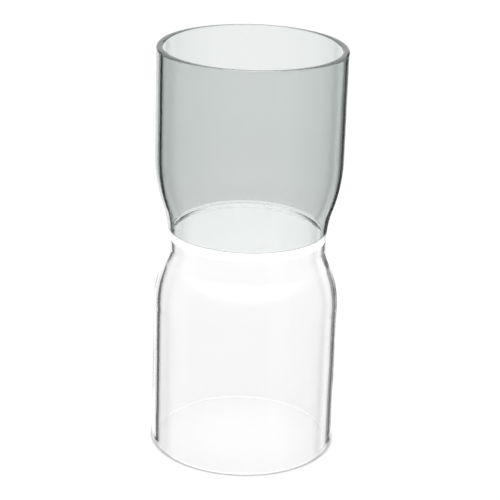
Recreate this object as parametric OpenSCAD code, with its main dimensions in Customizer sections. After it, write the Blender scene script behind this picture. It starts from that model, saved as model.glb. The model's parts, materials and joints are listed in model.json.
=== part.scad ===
// Two-tone hourglass vessel of hand-blown glass, free standing.
// An upper bowl of smoke-grey glass, a solid clear disc at the waist and a lower bowl of
// clear glass are made as three pieces and fused to each other edge to edge.
// Both bowls are open: the upper one upwards, the lower one onto the table.
// Millimetres, +Z up, origin at the centre of the circle that the lower rim stands on.

/* [Bowls] */
// Outside diameter of the straight part of both bowls
body_d = 108; // [104:1:130]
// Wall thickness of the straight part
wall = 3.8; // [3:0.1:5]
// Height of the upper bowl, from its seam with the disc to its rim
upper_h = 106; // [80:0.5:160]
// Height of the lower bowl, from the table to its seam with the disc
lower_h = 127.5; // [100:0.5:160]

/* [Waist] */
// Outside diameter at the narrowest place
waist_d = 92; // [84:1:96]
// How far the middle of the narrowest place lies below the disc
waist_drop = 3.5; // [2:0.5:5]
// Height of the straight band at the narrowest place
waist_band = 4; // [2:0.5:4]
// Height over which the upper bowl widens from the waist to its full diameter
upper_shoulder = 50; // [40:1:60]
// Height over which the lower bowl narrows from its full diameter to the waist
lower_shoulder = 36; // [30:1:60]
// Share of the upper shoulder's width that bends at the waist, the rest bends at the wall
upper_bend = 0.44; // [0.3:0.01:0.7]
// Share of the lower shoulder's width that bends at the waist, the rest bends at the wall
lower_bend = 0.3; // [0.3:0.01:0.7]
// Wall thickness of the upper bowl at its seam, where the glass is drawn thinner
seam_wall = 3; // [2.6:0.1:5]

/* [Disc] */
// Thickness of the solid disc at its edge
disc_t = 6.5; // [5:0.5:12]
// Radius of the inside corners between the disc and the walls
corner_r = 0.6; // [0.4:0.1:2]

/* [Rims] */
// Radius that the fire-polished edges of both rims are rounded to
rim_r = 1.4; // [0.5:0.1:1.4]

/* [Hidden] */
body_r = body_d / 2;
waist_r = waist_d / 2;
seam_z = lower_h + disc_t;
height = seam_z + upper_h;
waist_z = lower_h - waist_drop;
upper_end = waist_z + waist_band / 2 + upper_shoulder;
lower_start = waist_z - waist_band / 2 - lower_shoulder;
drawn = wall - seam_wall;
steps = 10;
$fn = 180;
smoke = [0.36, 0.39, 0.39, 0.6];
clear = [0.86, 0.92, 0.93, 0.35];

// Two arcs in a row carry a shoulder from the waist to the full diameter, upright at both ends.
// away is the height above or below the waist, length the shoulder's whole height and
// bend the share of it that the arc at the waist takes.
function turn(length) = 2 * atan((body_r - waist_r) / length);
function arcs_r(length) = length / sin(turn(length));
function bulge(r, along) = r - sqrt(r * r - along * along);
function shoulder_r(away, length, bend) =
    away <= 0 ? waist_r
    : away < bend * length ? waist_r + bulge(bend * arcs_r(length), away)
    : away < length ? body_r - bulge((1 - bend) * arcs_r(length), length - away)
    : body_r;

// Outside radius at any height
function outer_r(z) =
    let (away = abs(z - waist_z) - waist_band / 2)
    z < waist_z ? shoulder_r(away, lower_shoulder, lower_bend)
    : shoulder_r(away, upper_shoulder, upper_bend);

// Inside radius at any height: the upper bowl's wall thins evenly towards its seam
function inner_r(z) =
    z <= lower_h ? outer_r(z) - wall
    : outer_r(z) - wall + drawn * (body_r - outer_r(z)) / (body_r - outer_r(seam_z));

// Heights at even steps from one level up to another, both included
function levels(low, high) = [for (i = [0:steps]) low + (high - low) * i / steps];

// A quarter round about a centre, from one angle to another
function quarter(x, z, r, from, to) =
    [for (i = [0:steps]) let (a = from + (to - from) * i / steps) [x + r * cos(a), z + r * sin(a)]];

function backwards(list) = [for (i = [len(list) - 1:-1:0]) list[i]];

module upper_bowl() {
    shoulder = levels(seam_z, upper_end);
    color(smoke) rotate_extrude()
        polygon(concat(
            [for (z = shoulder) [outer_r(z), z]],
            quarter(body_r - rim_r, height - rim_r, rim_r, 0, 90),
            quarter(body_r - wall + rim_r, height - rim_r, rim_r, 90, 180),
            backwards([for (z = shoulder) [inner_r(z), z]])
        ));
}

// The disc's two faces are flat, and turn up and down at their edges into the walls
module waist_disc() {
    color(clear) rotate_extrude()
        polygon(concat(
            [[0, lower_h + corner_r]],
            backwards(quarter(inner_r(lower_h) - corner_r, lower_h, corner_r, 0, 90)),
            [for (z = levels(lower_h, seam_z)) [outer_r(z), z]],
            quarter(inner_r(seam_z) - corner_r, seam_z, corner_r, 0, -90),
            [[0, seam_z - corner_r]]
        ));
}

// The lower rim has a narrow flat between its two rounded edges to stand on
module lower_bowl() {
    shoulder = concat(levels(lower_start, waist_z - waist_band / 2), [lower_h]);
    color(clear) rotate_extrude()
        polygon(concat(
            quarter(body_r - rim_r, rim_r, rim_r, -90, 0),
            [for (z = shoulder) [outer_r(z), z]],
            backwards([for (z = shoulder) [inner_r(z), z]]),
            quarter(body_r - wall + rim_r, rim_r, rim_r, 180, 270)
        ));
}

upper_bowl();
waist_disc();
lower_bowl();
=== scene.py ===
# Two-tone hourglass vessel of blown glass: a smoke-grey upper bowl, a solid clear disc at the
# waist and a clear lower bowl, fused edge to edge. Metres, +Z up, standing on the origin.
import json
import math
import bpy
import bmesh
from mathutils import Matrix, Vector


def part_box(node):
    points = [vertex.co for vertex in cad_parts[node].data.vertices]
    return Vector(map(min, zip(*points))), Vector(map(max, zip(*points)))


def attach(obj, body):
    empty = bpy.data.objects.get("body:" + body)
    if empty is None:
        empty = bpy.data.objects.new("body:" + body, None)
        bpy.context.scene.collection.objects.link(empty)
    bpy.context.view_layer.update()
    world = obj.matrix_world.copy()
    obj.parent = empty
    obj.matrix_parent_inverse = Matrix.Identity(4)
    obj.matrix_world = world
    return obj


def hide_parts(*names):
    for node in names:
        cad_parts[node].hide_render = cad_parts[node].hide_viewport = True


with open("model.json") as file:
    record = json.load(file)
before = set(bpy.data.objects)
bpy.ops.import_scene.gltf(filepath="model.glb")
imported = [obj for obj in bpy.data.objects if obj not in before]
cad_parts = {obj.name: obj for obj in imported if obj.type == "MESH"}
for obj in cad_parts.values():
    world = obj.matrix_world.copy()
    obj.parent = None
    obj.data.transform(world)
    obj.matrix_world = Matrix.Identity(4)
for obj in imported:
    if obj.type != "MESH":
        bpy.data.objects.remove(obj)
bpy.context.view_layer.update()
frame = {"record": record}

scene = bpy.context.scene
scene.view_settings.view_transform = "Standard"

# sizes that the frame gives
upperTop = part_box("upper_bowl")[1]
discBottom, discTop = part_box("waist_disc")
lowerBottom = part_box("lower_bowl")[0]
mountSize = {mount["name"]: mount["dims"] for mount in frame["record"]["mounts"]}

bodyRadius = upperTop.x
mouthRadius = mountSize["upper_mouth"]["r_mm"] / 1000
wall = bodyRadius - mouthRadius
topZ = upperTop.z
seamZ = discTop.z              # the upper bowl starts here
underZ = discBottom.z          # and the lower bowl ends here
baseZ = lowerBottom.z

# what the three pieces share
vessel = {
    "waistRadius": 0.046,      # outside, at the narrowest place
    "waistHeight": 0.124,      # middle of the straight stretch there
    "waistBand": 0.004,        # length of that stretch
    "rimRadius": 0.0014,       # both rims are rounded to this
    "seamGap": 0.00001,        # keeps the two faces of a seam in order for a passing ray
}
fineness = {
    "around": 256,
    "shoulder": 48,
    "corner": 12,
    "straight": 12,
    "faceRing": 0.5,           # the disc's faces have a ring at this share of their radius
    "hold": 0.0003,            # a ring this far from a bend keeps the straight part straight
    "sharp": 40,               # degrees, past which an edge isn't smoothed over
    "merge": 1e-6,             # points this near are one
    "sliver": 1e-7,            # edges this short are dropped
}
upperShape = {
    "shoulder": 0.050,         # height in which the bowl opens out
    "bend": 0.44,              # share of the shoulder that bends at the waist
    "seamWall": 0.0030,        # the wall is drawn to this at its seam
}
discShape = {
    "cornerRadius": 0.0006,    # inside corners between the disc and the walls
}
lowerShape = {
    "shoulder": 0.036,         # height in which the bowl narrows
    "bend": 0.30,              # share of the shoulder that bends at the waist
}


def arcsRadius(length):
    turn = 2 * math.atan((bodyRadius - vessel["waistRadius"]) / length)
    return length / math.sin(turn)


def bulge(radius, along):
    return radius - math.sqrt(radius * radius - along * along)


def shoulderRadius(away, length, bend):
    # two arcs in a row, upright at both ends, from the waist to the full radius
    if away <= 0:
        return vessel["waistRadius"]
    if away < bend * length:
        return vessel["waistRadius"] + bulge(bend * arcsRadius(length), away)
    if away < length:
        return bodyRadius - bulge((1 - bend) * arcsRadius(length), length - away)
    return bodyRadius


def outerRadius(z):
    away = abs(z - vessel["waistHeight"]) - vessel["waistBand"] / 2
    shape = upperShape if z > vessel["waistHeight"] else lowerShape
    return shoulderRadius(away, shape["shoulder"], shape["bend"])


def innerRadius(z):
    # above the disc the wall thins evenly towards the seam
    if z <= underZ:
        return outerRadius(z) - wall
    drawn = (bodyRadius - outerRadius(z)) / (bodyRadius - outerRadius(seamZ))
    return outerRadius(z) - wall + drawn * (wall - upperShape["seamWall"])


def levels(low, high, count):
    return [low + (high - low) * i / count for i in range(count + 1)]


def arc(centre, radius, start, end):
    turns = levels(math.radians(start), math.radians(end), fineness["corner"])
    return [(centre[0] + radius * math.cos(a), centre[1] + radius * math.sin(a)) for a in turns]


def onWall(radiusAt, heights):
    return [(radiusAt(z), z) for z in heights]


def spinGlass(name, outline, closed, seams):
    # the outline is turned once round the axis, and flat seam rings get the second material
    mesh = bpy.data.meshes.new(name)
    bm = bmesh.new()
    points = [bm.verts.new((r, 0, z)) for r, z in outline]
    pairs = list(zip(points, points[1:]))
    if closed:
        pairs.append((points[-1], points[0]))
    edges = [bm.edges.new(pair) for pair in pairs]
    bmesh.ops.spin(bm, geom=points + edges, cent=(0, 0, 0), axis=(0, 0, 1), angle=math.tau,
                   steps=fineness["around"], use_merge=True, use_duplicate=False)
    bmesh.ops.remove_doubles(bm, verts=bm.verts, dist=fineness["merge"])
    bmesh.ops.dissolve_degenerate(bm, dist=fineness["sliver"], edges=bm.edges)
    bmesh.ops.recalc_face_normals(bm, faces=bm.faces)
    for face in bm.faces:
        face.smooth = True
        for z in seams:
            if all(abs(vert.co.z - z) < fineness["merge"] for vert in face.verts):
                face.material_index = 1
    # a seam's edges are sharp, and the walls beside it keep their own curve
    for edge in bm.edges:
        edge.smooth = edge.calc_face_angle() < math.radians(fineness["sharp"])
    bm.to_mesh(mesh)
    bm.free()
    piece = bpy.data.objects.new(name, mesh)
    scene.collection.objects.link(piece)
    return piece


def makeUpperBowl():
    shoulderTop = vessel["waistHeight"] + vessel["waistBand"] / 2 + upperShape["shoulder"]
    r = vessel["rimRadius"]
    shoulder = levels(seamZ + vessel["seamGap"], shoulderTop, fineness["shoulder"])
    straight = levels(shoulderTop, topZ - r - fineness["hold"], fineness["straight"])
    heights = shoulder + straight[1:] + [topZ - r]
    outline = onWall(outerRadius, heights)
    outline += arc((bodyRadius - r, topZ - r), r, 0, 90)[1:]
    outline += arc((mouthRadius + r, topZ - r), r, 90, 180)
    outline += onWall(innerRadius, heights[-2::-1])
    return spinGlass("upperBowlGlass", outline, True, [])


def makeWaistDisc():
    r = discShape["cornerRadius"]
    topEdge = innerRadius(seamZ)
    underEdge = innerRadius(underZ)
    ring = fineness["faceRing"]
    hold = r + fineness["hold"]
    outline = [(0, underZ + r), (underEdge * ring, underZ + r), (underEdge - hold, underZ + r)]
    outline += arc((underEdge - r, underZ), r, 90, 0)
    outline += onWall(outerRadius, levels(underZ, seamZ, fineness["corner"]))
    outline += arc((topEdge - r, seamZ), r, 0, -90)
    outline += [(topEdge - hold, seamZ - r), (topEdge * ring, seamZ - r), (0, seamZ - r)]
    return spinGlass("waistDiscGlass", outline, False, [underZ])


def makeLowerBowl():
    shoulderTop = vessel["waistHeight"] - vessel["waistBand"] / 2
    shoulderFoot = shoulderTop - lowerShape["shoulder"]
    r = vessel["rimRadius"]
    straight = levels(baseZ + r + fineness["hold"], shoulderFoot, fineness["straight"])
    shoulder = levels(shoulderFoot, shoulderTop, fineness["shoulder"])
    seam = underZ - vessel["seamGap"]
    heights = [baseZ + r] + straight + shoulder[1:] + [seam]
    outline = arc((bodyRadius - r, baseZ + r), r, -90, 0)
    outline += onWall(outerRadius, heights[1:])
    outline += onWall(innerRadius, heights[::-1])
    outline += arc((mouthRadius + r, baseZ + r), r, 180, 270)[1:]
    return spinGlass("lowerBowlGlass", outline, True, [seam])


upperBowl = makeUpperBowl()
waistDisc = makeWaistDisc()
lowerBowl = makeLowerBowl()
print("glass pieces spun:", upperBowl.name, waistDisc.name, lowerBowl.name)


def feed(tree, socket, value):
    # a number is set on the socket, and another node's output is linked to it
    if isinstance(value, (int, float)):
        socket.default_value = value
    else:
        tree.links.new(value, socket)


def mathNode(tree, operation, *values):
    node = tree.nodes.new("ShaderNodeMath")
    node.operation = operation
    for socket, value in zip(node.inputs, values):
        feed(tree, socket, value)
    return node.outputs[0]


def rangeNode(tree, value, fromLow, fromHigh, toLow, toHigh, fade="SMOOTHSTEP"):
    node = tree.nodes.new("ShaderNodeMapRange")
    node.interpolation_type = fade
    for name, given in (("Value", value), ("From Min", fromLow), ("From Max", fromHigh),
                        ("To Min", toLow), ("To Max", toHigh)):
        feed(tree, node.inputs[name], given)
    return node.outputs["Result"]


def mixNode(tree, factor, a, b):
    node = tree.nodes.new("ShaderNodeMix")
    node.data_type = "FLOAT"
    for name, given in (("Factor", factor), ("A", a), ("B", b)):
        feed(tree, node.inputs[name], given)
    return node.outputs["Result"]


def newMaterial(name):
    material = bpy.data.materials.new(name)
    material.use_nodes = True
    return material, material.node_tree


blownGlass = {
    "ior": 1.5,
    "waveScale": 22.0,         # waves to the metre, from blowing
    "waveDetail": 1,
    "waveHeight": 0.00012,
    "glowAfter": 3.5,          # painted glow: glass reached after more mirrorings than this glows white
    "glowWhite": 0.6,
    "glowLow": 0.09,           # from this height upwards
    "glowFade": 0.01,
}
smokeTint = {"colour": (0.300, 0.364, 0.336), "density": 113.0}


def addPaintedGlow(tree, shader, place):
    # painted glow: where a ray has been mirrored many times inside the glass, near the waist and above
    # it, the glass emits white
    path = tree.nodes.new("ShaderNodeLightPath")
    late = mathNode(tree, "GREATER_THAN", path.outputs["Glossy Depth"], blownGlass["glowAfter"])
    axes = tree.nodes.new("ShaderNodeSeparateXYZ")
    tree.links.new(place, axes.inputs[0])
    low = blownGlass["glowLow"]
    white = rangeNode(tree, axes.outputs["Z"], low, low + blownGlass["glowFade"],
                      0.0, blownGlass["glowWhite"], "LINEAR")
    shader.inputs["Emission Color"].default_value = (1, 1, 1, 1)
    feed(tree, shader.inputs["Emission Strength"], mathNode(tree, "MULTIPLY", late, white))


def addWaves(tree, shader, place):
    waves = tree.nodes.new("ShaderNodeTexNoise")
    waves.inputs["Scale"].default_value = blownGlass["waveScale"]
    waves.inputs["Detail"].default_value = blownGlass["waveDetail"]
    tree.links.new(place, waves.inputs["Vector"])
    bump = tree.nodes.new("ShaderNodeBump")
    bump.inputs["Strength"].default_value = 1
    bump.inputs["Distance"].default_value = blownGlass["waveHeight"]
    tree.links.new(waves.outputs["Fac"], bump.inputs["Height"])
    tree.links.new(bump.outputs["Normal"], shader.inputs["Normal"])


def makeGlass(name, tint=None):
    material, tree = newMaterial(name)
    shader = tree.nodes["Principled BSDF"]
    shader.inputs["Base Color"].default_value = (1, 1, 1, 1)
    shader.inputs["Transmission Weight"].default_value = 1
    shader.inputs["IOR"].default_value = blownGlass["ior"]
    shader.inputs["Roughness"].default_value = 0
    place = tree.nodes.new("ShaderNodeTexCoord").outputs["Object"]
    addPaintedGlow(tree, shader, place)
    addWaves(tree, shader, place)
    material.cycles.emission_sampling = "NONE"
    if tint:
        volume = tree.nodes.new("ShaderNodeVolumeAbsorption")
        volume.inputs["Color"].default_value = (*tint["colour"], 1)
        volume.inputs["Density"].default_value = tint["density"]
        tree.links.new(volume.outputs["Volume"], tree.nodes["Material Output"].inputs["Volume"])
    return material


def makeSeam(name):
    # fused clear glass has no surface at its seam, so light goes straight on
    material, tree = newMaterial(name)
    tree.nodes.remove(tree.nodes["Principled BSDF"])
    through = tree.nodes.new("ShaderNodeBsdfTransparent")
    tree.links.new(through.outputs["BSDF"], tree.nodes["Material Output"].inputs["Surface"])
    return material


smoke = makeGlass("smokeGlass", smokeTint)
clear = makeGlass("clearGlass")
clearSeam = makeSeam("clearSeam")

for piece, materials, slot, node in (
    (upperBowl, [smoke], "smoke_glass", "upper_bowl"),
    (waistDisc, [clear, clearSeam], "clear_glass", "waist_disc"),
    (lowerBowl, [clear, clearSeam], "clear_glass", "lower_bowl"),
):
    for material in materials:
        piece.data.materials.append(material)
    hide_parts(node)
    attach(piece, "root")
print("glass materials set")


# a count of faces or mirrorings above which a ray is of that kind
rayLimits = {
    "mirrored": 0.5,           # mirrored at all
    "often": 1.5,              # mirrored again
    "deep": 2.5,               # gone further than the near wall
    "waist": 4.5,              # gone through the disc as well as two walls
}
studio = {
    "room": 0.5,               # plain light from all round
    "farWhite": 1.18,          # what shows through the glass, far behind it
}


def rayKinds(tree):
    # seen by the camera, or through glass with no mirroring on the way
    path = tree.nodes.new("ShaderNodeLightPath").outputs
    kinds = {"plain": path["Is Camera Ray"]}
    for kind, depth in (("mirrored", "Glossy Depth"), ("often", "Glossy Depth"),
                        ("deep", "Transmission Depth"), ("waist", "Transmission Depth")):
        kinds[kind] = mathNode(tree, "GREATER_THAN", path[depth], rayLimits[kind])
    direct = mathNode(tree, "MAXIMUM", path["Is Camera Ray"], path["Is Transmission Ray"])
    unmirrored = mathNode(tree, "SUBTRACT", 1.0, kinds["mirrored"])
    kinds["seen"] = mathNode(tree, "MULTIPLY", direct, unmirrored)
    return kinds


floorPaper = {
    "size": 8.0,
    "grey": 0.4,
    "roughness": 0.9,
    "plainWhite": 1.02,        # as the eye sees it
    "nearShadedWhite": 0.95,         # painted shade: dimmer, through the glass, at the vessel's foot
    "nearDistance": 0.10,
    "farDistance": 0.75,
    "waistPaintedLight": 1.2,         # painted light: times that, through the waist
    "shade": 0.5,              # times that, where the rim stands
    "shadeWidth": 0.0035,
    "shadeInside": 3.0,        # the shade is this much narrower inwards
}


def paperWithPaintedShadeAndLight(tree, rays, distance):
    # painted shade: seen through the glass, the paper is dimmer near the vessel, as in its shadow, and
    # whiter further from it
    lit = studio["room"] * floorPaper["grey"]
    white = rangeNode(tree, distance, floorPaper["nearDistance"], floorPaper["farDistance"],
                      floorPaper["nearShadedWhite"] - lit, studio["farWhite"] - lit)
    # painted light: the paper seen through the waist is made brighter
    waist = mixNode(tree, rays["waist"], 1.0, floorPaper["waistPaintedLight"])
    white = mathNode(tree, "MULTIPLY", white, waist)
    return mixNode(tree, rays["plain"], white, floorPaper["plainWhite"] - lit)


def rimShade(tree, rays, distance):
    # a narrow shade where the rim stands, which isn't seen through the whole vessel
    outward = mathNode(tree, "SUBTRACT", distance, bodyRadius - wall / 2)
    inward = mathNode(tree, "MULTIPLY", outward, -floorPaper["shadeInside"])
    away = mathNode(tree, "MAXIMUM", outward, inward)
    shade = rangeNode(tree, away, wall / 2, floorPaper["shadeWidth"], floorPaper["shade"], 1.0)
    return mixNode(tree, rays["deep"], shade, 1.0)


def makePaper():
    material, tree = newMaterial("floorPaper")
    paper = tree.nodes["Principled BSDF"]
    grey = floorPaper["grey"]
    paper.inputs["Base Color"].default_value = (grey, grey, grey, 1)
    paper.inputs["Roughness"].default_value = floorPaper["roughness"]
    paper.inputs["Specular IOR Level"].default_value = 0
    paper.inputs["Emission Color"].default_value = (1, 1, 1, 1)
    rays = rayKinds(tree)
    place = tree.nodes.new("ShaderNodeTexCoord")
    length = tree.nodes.new("ShaderNodeVectorMath")
    length.operation = "LENGTH"
    tree.links.new(place.outputs["Object"], length.inputs[0])
    distance = length.outputs["Value"]
    white = paperWithPaintedShadeAndLight(tree, rays, distance)
    white = mathNode(tree, "MULTIPLY", white, rimShade(tree, rays, distance))
    shown = mathNode(tree, "MAXIMUM", rays["seen"], rays["mirrored"])
    feed(tree, paper.inputs["Emission Strength"], mathNode(tree, "MULTIPLY", shown, white))
    # outside the foot a mirrored ray goes on to the panels, which reach below the floor
    outside = mathNode(tree, "GREATER_THAN", distance, bodyRadius - vessel["rimRadius"])
    through = tree.nodes.new("ShaderNodeBsdfTransparent")
    mix = tree.nodes.new("ShaderNodeMixShader")
    feed(tree, mix.inputs["Fac"], mathNode(tree, "MULTIPLY", rays["mirrored"], outside))
    tree.links.new(paper.outputs["BSDF"], mix.inputs[1])
    tree.links.new(through.outputs["BSDF"], mix.inputs[2])
    tree.links.new(mix.outputs[0], tree.nodes["Material Output"].inputs["Surface"])
    return material


def makeFloor():
    mesh = bpy.data.meshes.new("floor")
    bm = bmesh.new()
    bmesh.ops.create_grid(bm, x_segments=1, y_segments=1, size=floorPaper["size"] / 2)
    bm.to_mesh(mesh)
    bm.free()
    floor = bpy.data.objects.new("floor", mesh)
    scene.collection.objects.link(floor)
    floor.data.materials.append(makePaper())


surround = {
    "panels": [                # standing round it: degrees from +Y, half width, soft edge, white
        (-6.5, 24.5, 2, 1.15),
        (46, 10, 3, 0.8),
        (-54, 7, 4, 0.5),
        (-92, 14, 8, 0.6),
        (135, 14, 8, 0.6),
        (180, 112, 8, 0.4),
    ],
    "gapDark": 0.02,           # between the panels
    "deepWhite": 1.0,          # what the far wall mirrors back through the near one
    "oftenWhite": 1.2,         # light that has run along inside the glass
    "skyWhite": 1.5,           # the bright ceiling that level glass mirrors
    "skyLow": 0.18,            # heights on a sphere of one metre between which it starts
    "skyHigh": 0.36,
}


def panelsWhite(tree, azimuth):
    brightest = surround["gapDark"]
    for turn, halfWidth, soft, white in surround["panels"]:
        away = mathNode(tree, "SUBTRACT", azimuth, math.radians(turn))
        dark, full = (math.cos(math.radians(halfWidth + side * soft)) for side in (1, -1))
        panel = rangeNode(tree, mathNode(tree, "COSINE", away), dark, full, surround["gapDark"], white)
        brightest = mathNode(tree, "MAXIMUM", panel, brightest)
    return brightest


def makeSurround():
    world = bpy.data.worlds.new("studio")
    scene.world = world
    world.use_nodes = True
    tree = world.node_tree
    background = tree.nodes["Background"]
    background.inputs["Color"].default_value = (1, 1, 1, 1)
    rays = rayKinds(tree)
    direction = tree.nodes.new("ShaderNodeTexCoord")
    axes = tree.nodes.new("ShaderNodeSeparateXYZ")
    tree.links.new(direction.outputs["Generated"], axes.inputs[0])
    azimuth = mathNode(tree, "ARCTAN2", axes.outputs["X"], axes.outputs["Y"])
    once = mixNode(tree, rays["deep"], panelsWhite(tree, azimuth), surround["deepWhite"])
    around = mixNode(tree, rays["often"], once, surround["oftenWhite"])
    sky = rangeNode(tree, axes.outputs["Z"], surround["skyLow"], surround["skyHigh"], 0.0, 1.0)
    mirror = mixNode(tree, sky, around, surround["skyWhite"])
    unseen = mixNode(tree, rays["mirrored"], studio["room"], mirror)
    feed(tree, background.inputs["Strength"], mixNode(tree, rays["seen"], unseen, studio["farWhite"]))


overheadPanel = {
    "place": (-0.3, -0.2, 1.5),
    "target": (0, 0, 0.1),
    "size": 1.0,
    "power": 2,
}


def turnedTo(place, target):
    return (Vector(target) - Vector(place)).to_track_quat("-Z", "Y").to_euler()


def makeLamp(name, lamp):
    data = bpy.data.lights.new(name, "AREA")
    data.size = lamp["size"]
    data.energy = lamp["power"]
    light = bpy.data.objects.new(name, data)
    light.location = lamp["place"]
    light.rotation_euler = turnedTo(lamp["place"], lamp["target"])
    scene.collection.objects.link(light)


makeFloor()
makeSurround()
makeLamp("overheadPanel", overheadPanel)
print("floor, surround and lamp set")


camera = {
    "place": (0, -0.95477, 0.48155),
    "pitch": 20.81,            # degrees, downwards
    "yaw": 0.108,              # to the right
    "roll": 1.80,
    "lens": 126.51,
    "sensor": 36,
}


def makeCamera():
    pitch, yaw, roll = (math.radians(camera[key]) for key in ("pitch", "yaw", "roll"))
    forward = Vector((math.sin(yaw) * math.cos(pitch), math.cos(yaw) * math.cos(pitch),
                      -math.sin(pitch)))
    level = Vector((math.cos(yaw), -math.sin(yaw), 0))
    upright = level.cross(forward)
    right = math.cos(roll) * level + math.sin(roll) * upright
    up = math.cos(roll) * upright - math.sin(roll) * level
    data = bpy.data.cameras.new("camera")
    data.lens = camera["lens"]
    data.sensor_width = camera["sensor"]
    view = bpy.data.objects.new("camera", data)
    view.location = camera["place"]
    view.rotation_euler = Matrix((right, up, -forward)).transposed().to_euler()
    scene.collection.objects.link(view)
    scene.camera = view


makeCamera()
print("camera set")
